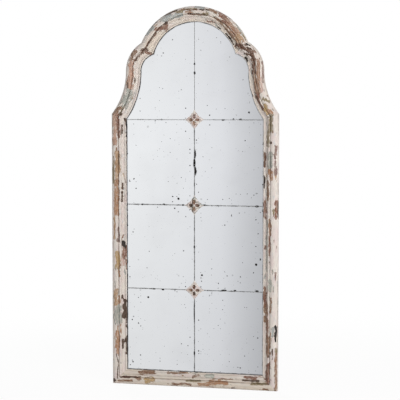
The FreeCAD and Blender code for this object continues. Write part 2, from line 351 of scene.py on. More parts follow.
# chipped paint: cream over older coats and wood, for the moulding and the rosettes
paint = {
    "cream": linear(228, 219, 210),
    "rosy": linear(223, 207, 202),
    "greyed": linear(206, 204, 204),
    "yellowed": linear(221, 207, 187),
    # dark wood tone for streaks and grain, and for the painted shade and dirt on the rims of chips
    "edge": linear(92, 72, 58),
    # dark tone for dirty brush drag and the grooves, and for painted shade on the outer flank
    "dirt": linear(120, 104, 92),
    "relief": (0.7, 0.001),
    "brushRelief": 0.3,
    # how the patches, the brush marks and the streaks are drawn out along the moulding
    "patchRun": (1, 3.2, 3.2),
    "brushRun": (12, 150, 150),
    "streakRun": (1, 10, 10),
    # noise: scale, detail, roughness
    "brushMarks": (4, 5, 0.65),
    "streaks": (26, 4, 0.6),
    "raggedEdges": (160, 5, 0.62),
    "raggedShare": 0.7,
    # patches: scale, detail, from and to which level of the noise, the least and the most, roughness
    "rosyPatches": (14, 3, 0.42, 0.66),
    "greyPatches": (31, 4, 0.53, 0.72),
    "yellowPatches": (55, 5, 0.56, 0.78, 0, 0.7, 0.7),
    "dirtPatches": (40, 4, 0.35, 0.65),
    "fadedPatches": (48, 4, 0.46, 0.66, 0, 0.45, 0.65),
    "leftSpecks": (110, 5, 0.55, 0.66, 0, 0.7, 0.7),
    "rimShadePatches": (26, 3, 0.38, 0.62, 0.1, 0.85),
    # from and to which level, the least and the most
    "bareLevels": (0.44, 0.56),
    "rimShadeStart": (0.36, 0.48),
    "rimShadeEnd": (0.5, 0.66),
    "paleLevels": (0.03, 0.14),
    "dragLevels": (0.42, 0.3, 0, 0.35),
    "darkStreaks": (0.46, 0.34, 0, 0.55),
    "leftStreaks": (0.57, 0.64, 0, 0.75),
    "darkGrain": (0.3, 0.6, 0.6, 0),
    "roughness": (0.4, 0.6, 0.5, 0.78),
}
paintGroup, given, made = newGroup(
    "chippedPaint",
    {"Worn": "Float", "Bare": "Color", "Strip": "Vector", "Dirt": "Float", "Warm": "Float"},
    {"Colour": "Color", "Roughness": "Float", "Height": "Float"},
)
place = stretch(given["Strip"], paint["patchRun"])
brushMarks = cloud(stretch(given["Strip"], paint["brushRun"]), *paint["brushMarks"])
streaks = cloud(stretch(given["Strip"], paint["streakRun"]), *paint["streaks"])
raggedShare = paint["raggedShare"]
ragged = calc("MULTIPLY_ADD", cloud(place, *paint["raggedEdges"]), raggedShare, -raggedShare / 2)
worn = calc("ADD", given["Worn"], ragged)
bareShare = rescale(worn, *paint["bareLevels"])

# the top coat, blotched and dirty, darker along the grooves, with painted shade on the outer flank
tint = blend(patches(place, *paint["rosyPatches"]), paint["cream"], paint["rosy"])
tint = blend(patches(place, *paint["greyPatches"]), tint, paint["greyed"])
tint = blend(patches(place, *paint["yellowPatches"]), tint, paint["yellowed"])
tint = blend(given["Warm"], tint, paint["yellowed"])
tint = blend(times(given["Dirt"], patches(place, *paint["dirtPatches"])), tint, paint["dirt"])
tint = blend(rescale(brushMarks, *paint["dragLevels"]), tint, paint["dirt"])

# what shows below it, with leftovers of the coat where that is pale
paleTone = rescale(wire(put("RGBToBW"), given["Bare"]), *paint["paleLevels"])
wood = blend(times(patches(place, *paint["fadedPatches"]), paleTone), given["Bare"], paint["yellowed"])
wood = blend(rescale(streaks, *paint["darkStreaks"]), wood, paint["edge"])
wood = blend(times(rescale(streaks, *paint["leftStreaks"]), paleTone), wood, tint)
wood = blend(rescale(brushMarks, *paint["darkGrain"]), wood, paint["edge"], "MULTIPLY")
wood = blend(times(patches(place, *paint["leftSpecks"]), paleTone), wood, tint)

# both together, with a dark rim of painted shade and dirt round some of the chips
whole = blend(bareShare, tint, wood)
rimShadeAndDirt = minus(rescale(worn, *paint["rimShadeStart"]), rescale(worn, *paint["rimShadeEnd"]))
rimShadeAndDirt = times(rimShadeAndDirt, patches(place, *paint["rimShadePatches"]))
feed(blend(rimShadeAndDirt, whole, paint["edge"]), made["Colour"])
feed(rescale(worn, *paint["roughness"]), made["Roughness"])
feed(minus(times(brushMarks, paint["brushRelief"]), bareShare), made["Height"])

paintedWood, shader = newMaterial("paintedWood")
found = useGroup(
    paintGroup,
    Worn=attribute("worn", "Fac"),
    Bare=attribute("bare", "Color"),
    Strip=attribute("strip", "Vector"),
    Dirt=attribute("dirt", "Fac"),
    Warm=attribute("warm", "Fac"),
)
dress(shader, found["Colour"], found["Height"], paint["relief"])
feed(found["Roughness"], shader["Roughness"])

# unpainted wood: the back of the frame and the tenons
woodLooks = {
    "rawWood": {  # the grain runs along each member
        "pale": linear(196, 164, 122),
        "dark": linear(150, 116, 80),
        "run": (1.5, 22, 22),
        "roughness": 0.8,
        "relief": (0.4, 0.0006),
    },
    "bareWood": {
        "pale": linear(206, 176, 132),
        "dark": linear(164, 130, 92),
        "run": (30, 30, 4),
        "roughness": 0.75,
        "relief": (0.3, 0.0004),
    },
}
woodGrain = {
    # noise: scale, detail, roughness
    "coarse": (6, 6, 0.6),
    "fine": (45, 3, 0.6),
    "coarseShare": 0.7,
    "levels": (0.36, 0.64),
}
grainGroup, given, made = newGroup(
    "woodGrain",
    {"Place": "Vector", "Pale": "Color", "Dark": "Color"},
    {"Colour": "Color", "Height": "Float"},
)
coarseGrain = times(cloud(given["Place"], *woodGrain["coarse"]), woodGrain["coarseShare"])
fineGrain = times(cloud(given["Place"], *woodGrain["fine"]), 1 - woodGrain["coarseShare"])
bothGrains = calc("ADD", coarseGrain, fineGrain)
feed(blend(rescale(bothGrains, *woodGrain["levels"]), given["Dark"], given["Pale"]), made["Colour"])
feed(bothGrains, made["Height"])


def grainedWood(name, alongStrip):
    look = woodLooks[name]
    material, shader = newMaterial(name, Roughness=look["roughness"])
    place = attribute("strip", "Vector") if alongStrip else objectPlace()
    found = useGroup(
        grainGroup,
        Place=stretch(place, look["run"]),
        Pale=look["pale"],
        Dark=look["dark"],
    )
    dress(shader, found["Colour"], found["Height"], look["relief"])
    return material


rawWood = grainedWood("rawWood", alongStrip=True)
bareWood = grainedWood("bareWood", alongStrip=False)
print("paint mixed")

# the moulding's section: across from the outer edge and up from the back
moulding = {
    "sideHeight": 0.020,
    "round": ((0, 0.020), (0.0073, 0.0377), (0.0375, 0.0416)),
    "bead": ((0.0391, 0.0342), (0.0462, 0.0408), (0.0529, 0.0335)),
    "cove": ((0.0545, 0.0288), (0.0616, 0.0232), (0.0699, 0.0215)),
    "lip": ((0.0699, 0.0215), (0.0747, 0.0247), (0.079, 0.0205)),
    "rabbets": ((0.079, 0.013), (0.067, 0.013), (0.067, 0.008), (0.053, 0.008), (0.053, 0)),
    "stepAcross": 0.0024,
    "sightStep": 0.7,  # times the step across
    "backStep": 3,
    "stepAlong": 0.0032,
    "rowBlock": 20,  # rows are cut in blocks of this many
    "pointGap": 0.0002,
    "mitreGap": 0.0002,
    # how far a member is drawn past its mitres, in metres and in radians
    "overrun": 0.01,
    "coveOverrun": 0.12,
    "earOverrun": 0.5,
    "crestOverrun": 0.25,
}


def arcThrough(*points):
    # points along the circle through three points, from the first to the third
    first, second, third = [complex(*point) for point in points]
    lean = (third - first) / (second - first)
    centre = first + (second - first) * (lean - abs(lean) ** 2) / (2j * lean.imag)
    reach = first - centre
    turn = cmath.phase((second - centre) / reach) + cmath.phase((third - centre) / (second - centre))
    count = max(3, round(abs(turn) * abs(reach) / moulding["stepAcross"]))
    spots = [centre + reach * cmath.exp(1j * turn * step / count) for step in range(count + 1)]
    return [(spot.real, spot.imag) for spot in spots]


def lineTo(first, second, step):
    count = max(1, round(math.dist(first, second) / step))
    return [tuple(a + (b - a) * n / count for a, b in zip(first, second)) for n in range(count + 1)]


def mouldingSection():
    fine = moulding["stepAcross"]
    outline = lineTo((0, 0), (0, moulding["sideHeight"]), fine)
    for part in ("round", "bead", "cove", "lip"):
        outline += arcThrough(*moulding[part])
    outline += lineTo(moulding["lip"][2], moulding["rabbets"][0], moulding["sightStep"] * fine)
    corners = [*moulding["rabbets"], (0, 0)]
    for first, second in zip(corners, corners[1:]):
        outline += lineTo(first, second, moulding["backStep"] * fine)
    kept = [outline[0]]
    for point in outline[1:]:
        if math.dist(point, kept[-1]) > moulding["pointGap"]:
            kept.append(point)
    if math.dist(kept[0], kept[-1]) < moulding["pointGap"]:
        kept.pop()
    return kept


section = mouldingSection()


def newRing(name, spotOf):
    # one closed loop of the section, to be drawn out along the frame
    deselectAll()
    bpy.ops.mesh.primitive_circle_add(vertices=len(section), fill_type="NOTHING")
    ring = bpy.context.object
    ring.name = name
    for vertex, (inset, height) in zip(ring.data.vertices, section):
        x, z = spotOf(inset)
        vertex.co = (x, mirror["backY"] - height, z)
    goTo("EDIT")
    bpy.ops.mesh.select_all(action="SELECT")
    return ring


def drawOut(piece, travel):
    # a straight length, cut into short rows of faces
    bpy.ops.mesh.extrude_region_move(TRANSFORM_OT_translate={"value": travel})
    direction = Vector(travel).normalized()

    def runsAlong(edge):
        start, end = [piece.data.vertices[index].co for index in edge.vertices]
        return abs((start - end).normalized().dot(direction)) > 0.99

    block = moulding["rowBlock"]
    blocks = round(Vector(travel).length / moulding["stepAlong"] / block)
    for cuts in (block - 1, blocks - 1):
        choose(piece, "edges", runsAlong)
        bpy.ops.mesh.subdivide(number_cuts=cuts)


def sweepRound(centre, turn, radius):
    # the selected loop is turned about a centre in the mirror's plane
    rows = round(abs(turn) * radius / moulding["stepAlong"])
    bpy.ops.mesh.spin(steps=rows, angle=turn, center=(centre[0], 0, centre[1]), axis=(0, 1, 0))


def sided(point, side):
    return (point[0] * side, point[1])


def cutMitres(piece, middle, *mitres):
    # cuts square through the mirror's plane along each mitre and keeps the side of the middle
    for (outerPoint, innerPoint), side in mitres:
        outerX, outerZ = sided(outerPoint, side)
        innerX, innerZ = sided(innerPoint, side)
        spot = Vector((outerX, 0, outerZ))
        along = Vector((innerX - outerX, 0, innerZ - outerZ))
        normal = along.cross(Vector((0, 1, 0))).normalized()
        if (Vector((middle[0], 0, middle[1])) - spot).dot(normal) > 0:
            normal = -normal
        bpy.ops.mesh.select_mode(type="VERT")
        bpy.ops.mesh.select_all(action="SELECT")
        bpy.ops.mesh.bisect(
            plane_co=spot - normal * moulding["mitreGap"],
            plane_no=normal,
            clear_outer=True,
        )
        bpy.ops.mesh.edge_face_add()
    cleanUp(piece)
    return piece


def shoulderAt(inset):
    # where the side meets the cove, at a distance in from the outer edge
    reach = coveRadius + inset
    across = halfWidth - inset
    return across, earZ - math.sqrt(reach ** 2 - (coveCentre[0] - across) ** 2)


def cuspAt(inset):
    # where the ear meets the crest, the upper of the two crossings of their circles
    ear = complex(*earCentre)
    apart = complex(*crestCentre) - ear
    earReach = earRadius - inset
    crestReach = crestRadius - inset
    along = (earReach ** 2 - crestReach ** 2 + abs(apart) ** 2) / (2 * abs(apart))
    off = math.sqrt(earReach ** 2 - along ** 2)
    spots = [ear + apart / abs(apart) * complex(along, way * off) for way in (1, -1)]
    spot = max(spots, key=lambda spot: spot.imag)
    return spot.real, spot.imag


# the outer and the inner end of each mitre
footMitre = ((halfWidth, baseZ), (halfWidth - mouldingWidth, baseZ + mouldingWidth))
shoulderMitre = (shoulderAt(0), shoulderAt(mouldingWidth))
cuspMitre = (cuspAt(0), cuspAt(mouldingWidth))


def buildStile(name, side):
    start = baseZ - moulding["overrun"]
    end = max(z for x, z in shoulderMitre) + moulding["overrun"]
    stile = newRing(name, lambda inset: (side * (halfWidth - inset), start))
    drawOut(stile, (0, 0, end - start))
    middle = (side * (halfWidth - mouldingWidth / 2), baseZ / 2)
    return cutMitres(stile, middle, (footMitre, side), (shoulderMitre, side))


def buildRail(name):
    start = -halfWidth - moulding["overrun"]
    rail = newRing(name, lambda inset: (start, baseZ + inset))
    drawOut(rail, (-2 * start, 0, 0))
    return cutMitres(rail, (0, baseZ), (footMitre, 1), (footMitre, -1))


def buildShoulder(name, side):
    shoulder = newRing(name, lambda inset: (side * (earX - inset), earZ))
    coveTurn = math.asin(mirror["coveRise"] / coveRadius) + moulding["coveOverrun"]
    sweepRound(sided(coveCentre, side), side * coveTurn, coveRadius)
    choose(shoulder, "vertices", lambda vertex: abs(vertex.co.z - earZ) < sameSpot)
    earTurn = math.atan2(cuspZ - earCentre[1], cuspX - earCentre[0]) + moulding["earOverrun"]
    sweepRound(sided(earCentre, side), side * earTurn, earRadius)
    middle = (side * (earX - mouldingWidth / 2), earZ)
    return cutMitres(shoulder, middle, (shoulderMitre, side), (cuspMitre, side))


def buildArch(name):
    turn = math.atan2(cuspX, cuspZ - crestCentre[1]) + moulding["crestOverrun"]

    def startOf(inset):
        reach = crestRadius - inset
        return -reach * math.sin(turn), crestCentre[1] + reach * math.cos(turn)

    arch = newRing(name, startOf)
    sweepRound(crestCentre, -2 * turn, crestRadius)
    return cutMitres(arch, (0, apexZ), (cuspMitre, 1), (cuspMitre, -1))


# what shows where the top coat has gone
bareTones = {
    "brown": (148, 109, 82),
    "redBrown": (142, 96, 77),
    "orange": (184, 135, 99),
    "tan": (196, 158, 122),
    "umber": (114, 78, 60),
    "dark": (90, 68, 54),
    "black": (60, 54, 50),
    "ochre": (198, 164, 112),
    "olive": (150, 134, 102),
    "purple": (146, 118, 112),
    "grey": (188, 194, 192),
    "greyGreen": (184, 187, 179),
    "pink": (232, 210, 202),
    "blush": (222, 190, 178),
    "rust": (174, 134, 109),
    "salmon": (208, 168, 146),
    "paleGreen": (210, 213, 203),
    # near-black: dark marks, and painted shade along the sight edge and on the sight wall
    "sootAndShade": (40, 35, 32),
}
bareTones = {name: (*linear(*tone), 1.0) for name, tone in bareTones.items()}
strayTones = ("brown", "tan", "greyGreen", "redBrown", "grey", "orange")

# worn places as the photograph shows them, by the tone that shows there; the near-black marks along the
# sight edge are painted shade
# each in pixels: startX, startY, endX, endY and half the width
wornPlaces = {
    "greyGreen": (
        (236, 24.2, 243, 34.8, 0.7), (124, 105, 129.3, 91.5, 3.4), (117.6, 307, 118.3, 320, 3.2),
        (269.8, 153.3, 270, 167.3, 1.8), (267, 220.5, 266.7, 271.5, 0.5),
    ),
    "grey": (
        (147, 33, 152, 28, 2.0), (163, 19, 180, 14.5, 2.4), (196, 7.5, 203, 7.8, 1.3),
        (272.8, 328, 272.5, 336, 1.0),
    ),
    "redBrown": (
        (157, 29.5, 165, 26.5, 2.2), (221, 14.5, 229, 24, 3.2), (243, 46.4, 246.5, 48.4, 1.2),
        (145, 51.5, 153, 55, 1.1), (256.8, 92, 259, 100, 1.3), (117.2, 114.5, 118.4, 136.5, 1.7),
        (124.3, 248, 124.3, 258.5, 1.7), (127.2, 246.5, 127.2, 268, 1.3), (244.6, 377.4, 255.4, 378.6, 1.4),
        (264.9, 202, 264.9, 217.3, 1.4), (276.6, 202, 276.3, 218, 1.7), (269.6, 236, 269.6, 255.6, 0.8),
        (265.3, 246, 265.5, 248.6, 1.0), (265, 288, 265, 303.4, 1.5), (267.1, 322, 267.1, 337, 1.0),
        (268.4, 365, 267.1, 383, 1.9),
    ),
    "dark": (
        (165, 24.5, 167, 22.5, 1.0), (195, 9, 209, 10.2, 0.7), (222.5, 16, 225.5, 19.5, 1.5),
        (247, 47.6, 250, 49.5, 1.7), (214, 8.4, 224, 12.8, 0.6), (224, 12.8, 231, 19.2, 0.6),
        (151, 26.6, 160, 17.6, 0.6), (160, 17.6, 177, 9.8, 0.5), (127.5, 88, 127.5, 83, 0.5),
        (135, 78, 135, 82, 0.6), (244.8, 53.6, 247.3, 54.8, 0.7), (250.5, 90, 252, 96, 0.8),
        (120.3, 113.6, 121, 114.5, 1.4), (121.9, 125, 122.2, 133.2, 0.7), (125.2, 119.5, 125.8, 121, 1.2),
        (118.8, 154, 118.8, 165, 0.5), (122.5, 183.5, 123, 189, 0.8), (122.2, 192, 122.2, 201, 0.9),
        (122.2, 295, 122.2, 298, 0.9), (125.4, 300.5, 124, 316.5, 1.8), (127.3, 309.5, 127.3, 327.5, 1.2),
        (122.9, 339.5, 122.9, 348, 0.9), (125.3, 341, 127.3, 336.5, 0.9), (123.2, 343.5, 125.3, 341, 0.8),
        (127.3, 336.5, 127.4, 353.5, 1.2), (116.2, 353.8, 118.3, 362, 0.5), (118.3, 362, 117.3, 378, 0.5),
        (113.8, 378.5, 115, 381, 1.0), (243, 380.3, 258.7, 381.2, 0.8), (271, 142.6, 271, 143.6, 0.7),
        (278, 203, 277.8, 217, 0.6), (268.6, 355.8, 269, 357.2, 1.2), (272.1, 349.6, 272.5, 359.7, 0.7),
    ),
    "umber": (
        (146, 47, 156, 32.5, 0.9), (184, 9.8, 197, 9.6, 0.6), (188, 13.6, 205, 15.2, 0.7),
        (239, 45.5, 250, 50.5, 2.9), (143.4, 51, 146, 49.5, 2.1), (135.4, 60.5, 142, 52.6, 0.9),
        (251, 53, 253.8, 60.5, 1.7), (253.8, 60.5, 254, 74, 1.6), (256.5, 96, 263, 109.5, 1.0),
        (121, 377, 140, 377, 0.8), (265, 153.3, 264.6, 166, 1.2),
    ),
    "olive": (
        (177, 12.6, 182, 11.6, 1.2), (204, 13.6, 206, 14, 1.8), (243, 34.8, 245.4, 40, 0.7),
        (184, 8.9, 197, 8.3, 0.6), (119.8, 114.5, 124.5, 105.5, 0.8), (263, 99, 268.4, 101.5, 1.3),
        (113.6, 157, 113.6, 183, 0.9), (186.5, 380.7, 199.8, 380.9, 0.8), (252, 384, 267, 383.6, 1.2),
        (271, 116, 270, 130.5, 2.0), (268, 132.5, 268.2, 146, 1.0), (273.7, 210.5, 273.7, 213, 1.0),
        (275.8, 349, 275.8, 351.6, 1.3),
    ),
    "rust": (
        (186, 11.8, 192, 12.2, 0.8), (229, 24, 237, 33, 3.4), (258, 61, 258, 80, 1.9),
        (258, 80, 259, 92.5, 1.5), (269.9, 220.5, 269.6, 236, 1.3),
    ),
    "brown": (
        (210, 9.2, 216, 12.6, 1.3), (215.5, 18, 221, 22.5, 0.9), (221, 22.5, 236.5, 42, 0.9),
        (131, 60, 134.5, 51.5, 2.1), (113.5, 113, 120.5, 107.5, 1.7), (254, 74, 256.8, 92, 1.5),
        (116.5, 148.5, 116.5, 150.5, 0.8), (119.8, 264, 119.8, 267.5, 1.1), (140, 372.7, 153.4, 372, 1.9),
        (137, 378.2, 139.5, 378.4, 1.4), (118.3, 380.4, 131.7, 380.8, 0.8), (167.5, 372.8, 185, 373.3, 0.9),
        (193, 377, 198, 375, 1.0), (214, 378.6, 233, 379.2, 0.5), (172.4, 383.6, 190, 384.2, 1.1),
        (264, 389.6, 267, 390, 1.2), (267.8, 181, 267.8, 199.5, 1.0), (265.8, 304.7, 265.8, 320, 1.8),
        (270.8, 298.7, 270.5, 312.8, 0.9), (268.1, 338, 268.1, 355.6, 1.8),
        (275.8, 354.3, 275.5, 390.5, 1.2),
    ),
    "tan": (
        (237, 33, 240.5, 41, 2.8), (117.1, 153, 117.4, 176.5, 2.3), (114.6, 217, 114.6, 238.5, 0.9),
        (116.2, 290.5, 116.2, 305, 2.0),
    ),
    # near-black: dark spots, and painted shade along the sight edge
    "sootAndShade": (
        (246.5, 43.8, 250, 45.4, 0.7), (218, 27.1, 220.4, 28.7, 0.6), (226, 33.8, 230, 38.4, 0.7),
        (230, 38.4, 233.6, 44.4, 0.7), (136.4, 104.6, 137.7, 98.4, 1.1), (126.8, 121.8, 126.8, 136.2, 0.9),
        (264.2, 176, 264.2, 188, 0.6), (265, 215.6, 265, 217.6, 0.9), (275.8, 326.8, 275.5, 341, 1.1),
    ),
    "orange": (
        (226, 22, 238, 35.5, 0.8), (268, 110, 271, 113, 1.8), (116.8, 181, 116.6, 214, 2.1),
        (118.8, 271.5, 119, 276, 1.0), (119, 296, 119, 303, 1.2), (117.6, 333.5, 117.6, 350.5, 2.3),
        (199.8, 384.2, 209, 383.8, 1.8), (211.4, 382.6, 226.3, 383.6, 2.2), (269.8, 170.5, 271, 178.7, 1.8),
    ),
    "salmon": (
        (130.6, 88, 131.4, 61.5, 2.1), (129.7, 88, 129.5, 82, 1.5), (114.6, 114, 114.8, 143.5, 1.7),
    ),
    "black": (
        (245.4, 57.4, 247.3, 61.2, 0.9), (124, 242.3, 125.4, 247.4, 1.7),
    ),
    "purple": (
        (262.6, 62, 262.8, 82, 0.9), (118.7, 228, 118.7, 241, 0.9), (118.4, 239.5, 118.6, 241, 1.2),
        (232, 388.4, 234.5, 388.8, 0.8), (276.5, 147, 275, 156.5, 1.2), (275, 156.5, 276, 174, 1.2),
        (275.3, 272.8, 275.3, 281, 0.6),
    ),
    "blush": (
        (261, 79, 262, 91, 1.2), (124.6, 249.5, 124.8, 255.5, 0.6), (123.2, 260, 123.4, 264, 2.0),
    ),
    "ochre": (
        (264.5, 105, 267, 108.5, 1.6), (265.2, 109.6, 267.4, 113.4, 1.4), (117.3, 253, 118.2, 267, 2.0),
        (146.4, 380.4, 152, 379.8, 2.2),
    ),
    "paleGreen": (
        (207, 375.5, 212.5, 376, 1.6), (269.9, 281, 269.9, 290.7, 1.6),
    ),
}

# how the members are worn, chipped, waved and dirtied, darker along the grooves, with painted shade on the
# outer flank and the sight wall
ageing = {
    "wornEdge": 1.15,
    "wornLevels": (-0.3, 0.4),
    "toneReach": -0.4,
    "raggedness": 1.05,
    "chipDepth": 0.0007,
    "chipLevel": 0.37,
    "chipFade": 0.25,
    "chipRagged": 0.25,
    "farLevel": 0.16,  # how much rarer chips are away from the worn places
    "farFrom": -0.9,
    "strayStart": -0.6,
    "strayStep": 0.2,
    "warmLevels": (-0.6, 0.4),
    "leastWeight": 0.01,
    "waviness": 0.0005,
    "waveSize": 0.03,
    "waveDepth": 2,
    "waveRise": (0.0128, 0.018),
    "grooves": ((0.0384, 0.5), (0.0537, 0.45), (0.0705, 0.3)),  # where the colour darkens along the grooves, and how much
    "grooveWidth": 0.0013,
    # the outer flank near the outer edge is darkened: painted shade, mottled with dirt
    "flankDirt": 0.8,
    "flankReach": 0.0042,
    "flankRise": (0.008, 0.016),
    "flankLevels": (-0.35, 0.25),
    # the painted front lies above the back and clear of the rabbets, the sight wall at its inner end
    "backSkin": 0.0005,
    "rabbetInset": 0.05,
    "rabbetTop": 0.0128,
    "sightInset": 0.0785,
    "sightWall": 0.0192,
    # noise: how fine along and across the moulding, and where it starts
    "roughNoise": (42, 120, 3.1),
    "strayNoise": (3, 11, 8.3),
    "chipNoise": (16, 60, 5.7),
}


def fractal(place):
    # four octaves, each twice as fine as the last
    return noise.fractal(Vector(place), 1.0, 2.0, 4)


def fractalAt(strip, alongScale, acrossScale, shift):
    # streaks that run along the moulding
    return np.array([
        fractal((along * alongScale + shift, inset * acrossScale, height * acrossScale))
        for along, inset, height in strip
    ])


def placesOf(piece):
    spots = np.zeros(len(piece.data.vertices) * 3)
    piece.data.vertices.foreach_get("co", spots)
    return spots.reshape(-1, 3)


attributeKinds = {1: ("FLOAT", "value"), 3: ("FLOAT_VECTOR", "vector"), 4: ("FLOAT_COLOR", "color")}


def paintPiece(piece, **looks):
    # the painted finish, and what it reads at each vertex as attributes
    for name, values in looks.items():
        kind, field = attributeKinds[values.size // len(values)]
        layer = piece.data.attributes.new(name, kind, "POINT")
        layer.data.foreach_set(field, np.ascontiguousarray(values, np.float32).ravel())
    giveMaterial(piece, paintedWood)


def stileStrip(spots):
    # places along each member and in from its outer edge
    return spots[:, 2], halfWidth - np.abs(spots[:, 0])


def railStrip(spots):
    return spots[:, 0], spots[:, 2] - baseZ


def shoulderStrip(spots):
    side = np.abs(spots[:, 0])
    up = spots[:, 2] - earZ
    coveInset = np.hypot(side - coveCentre[0], up) - coveRadius
    earInset = earRadius - np.hypot(side - earCentre[0], up)
    coveAlong = np.arctan2(up, coveCentre[0] - side) * coveRadius
    earAlong = np.arctan2(up, side - earCentre[0]) * earRadius
    return np.where(up < 0, coveAlong, earAlong), np.where(up < 0, coveInset, earInset)


def archStrip(spots):
    up = spots[:, 2] - crestCentre[1]
    return np.arctan2(spots[:, 0], up) * crestRadius, crestRadius - np.hypot(spots[:, 0], up)


def displace(piece, groupName, weights, strength, texture=None):
    group = piece.vertex_groups.new(name=groupName)
    for index, weight in enumerate(weights):
        if weight > ageing["leastWeight"]:
            group.add([index], float(weight), "REPLACE")
    modifier = piece.modifiers.new("worn", "DISPLACE")
    modifier.strength = strength
    modifier.mid_level = 0.5 if texture else 0
    modifier.vertex_group = groupName
    modifier.texture = texture
    modifier.texture_coords = "LOCAL"
    bpy.ops.object.modifier_apply(modifier=modifier.name)


waves = bpy.data.textures.new("handWork", "CLOUDS")
waves.noise_scale = ageing["waveSize"]
waves.noise_depth = ageing["waveDepth"]


def wornAt(seen, bare):
    # how near each point is to a worn place, and the tone of the nearest
    best = np.full(len(seen), -1.0)
    for toneName, places in wornPlaces.items():
        for startX, startY, endX, endY, half in places:
            run = np.array((endX - startX, endY - startY))
            away = seen - (startX, startY)
            share = np.clip((away @ run) / (run @ run), 0, 1)
            near = ageing["wornEdge"] - np.hypot(*(away - share[:, None] * run).T) / half
            better = near > best
            best = np.where(better, near, best)
            bare[better & (near > ageing["toneReach"])] = bareTones[toneName]
    return best


def ageMember(piece, stripOf, start, warmth):
    makeActive(piece)
    spots = placesOf(piece)
    along, inset = stripOf(spots)
    height = mirror["backY"] - spots[:, 1]
    strip = np.stack((along + start, inset, height), 1)
    clear = (inset < ageing["rabbetInset"]) | (height > ageing["rabbetTop"])
    front = (height > ageing["backSkin"]) & clear
    rough = fractalAt(strip, *ageing["roughNoise"])
    stray = fractalAt(strip, *ageing["strayNoise"])
    chips = fractalAt(strip, *ageing["chipNoise"])
    bare = np.tile(bareTones[strayTones[0]], (len(spots), 1))
    for rank, toneName in enumerate(strayTones):
        bare[stray > ageing["strayStart"] + ageing["strayStep"] * rank] = bareTones[toneName]
    best = wornAt(pixelsOf(spots), bare)
    worn = smooth(*ageing["wornLevels"], best + ageing["raggedness"] * rough)
    level = ageing["chipLevel"] + ageing["farLevel"] * (best < ageing["farFrom"])
    chipped = smooth(level, level + ageing["chipFade"], chips + ageing["chipRagged"] * rough)
    worn = np.maximum(worn, chipped) * front
    dirt = 0
    for at, much in ageing["grooves"]:
        dirt = dirt + much * np.exp(-((inset - at) / ageing["grooveWidth"]) ** 2)
    # painted shade and dirt on the outer flank, near the outer edge and higher up
    flank = smooth(ageing["flankReach"], 0, inset) * smooth(*ageing["flankRise"], height)
    flank = ageing["flankDirt"] * flank * smooth(*ageing["flankLevels"], stray)
    dirt = np.clip(dirt + flank, 0, 1) * front
    # painted shade on the sight wall: it is made fully bare in a near-black tone and left unchipped
    wall = front & (inset > ageing["sightInset"]) & (height < ageing["sightWall"])
    worn[wall] = 2
    bare[wall] = bareTones["sootAndShade"]
    displace(piece, "chipped", np.where(wall, 0, worn), -ageing["chipDepth"])
    waved = front * smooth(*ageing["waveRise"], height)
    displace(piece, "frontFace", waved, ageing["waviness"], waves)
    warm = warmth * smooth(*ageing["warmLevels"], stray)
    paintPiece(piece, worn=worn, dirt=dirt, warm=warm, bare=bare, strip=strip)
    piece.data.materials.append(rawWood)
    choose(piece, "polygons", looksBack)
    piece.active_material_index = 1
    bpy.ops.object.material_slot_assign()
    goTo("OBJECT")


# each member: what it replaces, its strip, where its noise starts, and how yellowed it is
members = (
    (buildStile("left_stile_paint", -1), "left_stile", stileStrip, 0, 0.1),
    (buildStile("right_stile_paint", 1), "right_stile", stileStrip, 0, 0.1),
    (buildRail("bottom_rail_paint"), "bottom_rail", railStrip, 5, 0.65),
    (buildShoulder("left_shoulder_paint", -1), "left_shoulder", shoulderStrip, 9, 0.3),
    (buildShoulder("right_shoulder_paint", 1), "right_shoulder", shoulderStrip, 13, 0.3),
    (buildArch("top_arch_paint"), "top_arch", archStrip, 17, 0.6),
)
for piece, node, stripOf, start, warmth in members:
    ageMember(piece, stripOf, start, warmth)
    finishPiece(piece, node)
print("frame moulded and worn")

# carved rosettes over the crossings
rosette = {
    "reach": 0.053,
    "waist": 0.030,
    "edge": 0.0035,
    "hub": 0.0125,
    "thinnest": 0.0012,
    "swell": 0.8,
    "swellPower": 1.4,
    "hollow": {"at": 0.0180, "length": 0.0110, "width": 0.0080, "depth": 0.0062, "power": 0.7},
    "outlineStep": {"height": 0.0022, "at": 24, "width": 6},  # in degrees from the middle of an arc
    "hollowRim": {"height": 0.0013, "at": 1.18, "width": 0.14},
    "diagonalRidge": {"height": 0.0026, "at": 0, "width": 0.0034, "risesOver": 0.01},
    "pointRidge": {"height": 0.0018, "at": 0, "width": 0.0019, "startsAt": 0.029, "risesOver": 0.006},
    "hubGroove": {"height": -0.0012, "at": 0.0078, "width": 0.0013},
    "hubDome": {"height": 0.0018, "radius": 0.0068},
    "rings": 26,
    "spokes": 128,
    "rimShare": 0.999,  # what lies further out is the rim
    "smoothAngle": 60,
}
rosetteWear = {
    "noiseScale": 90,
    "noiseShift": 10,
    "hollowLevels": (1.12, 0.8),
    "hollowRagged": 0.12,
    "wornLevels": (0.2, 0.6),
    "wornRagged": 0.6,
    "toneFrom": 0.3,  # hollows and streaks show their tone where they are worn more than this
    "greyFrom": 0.036,
    "greyRagged": 0.006,
    "streakLevels": (0.0035, 0.0015),
    "streakRagged": 0.002,
    "streakReach": 0.038,
    "hubDirt": (0.0055, 0.0075, 0.0105),
}
# the hollows go right, top, left, bottom
rosetteLooks = {
    "upper_rosette": {
        "bare": "pink",
        "hollows": ("redBrown", "purple", "brown", "rust"),
        "wear": 0.34,
        "streak": None,
    },
    "middle_rosette": {
        "bare": "greyGreen",
        "hollows": ("umber", "brown", "dark", "brown"),
        "wear": 0.36,
        "streak": -0.008,
    },
    "lower_rosette": {
        "bare": "pink",
        "hollows": ("umber", "umber", "brown", "dark"),
        "wear": 0.26,
        "streak": None,
    },
}


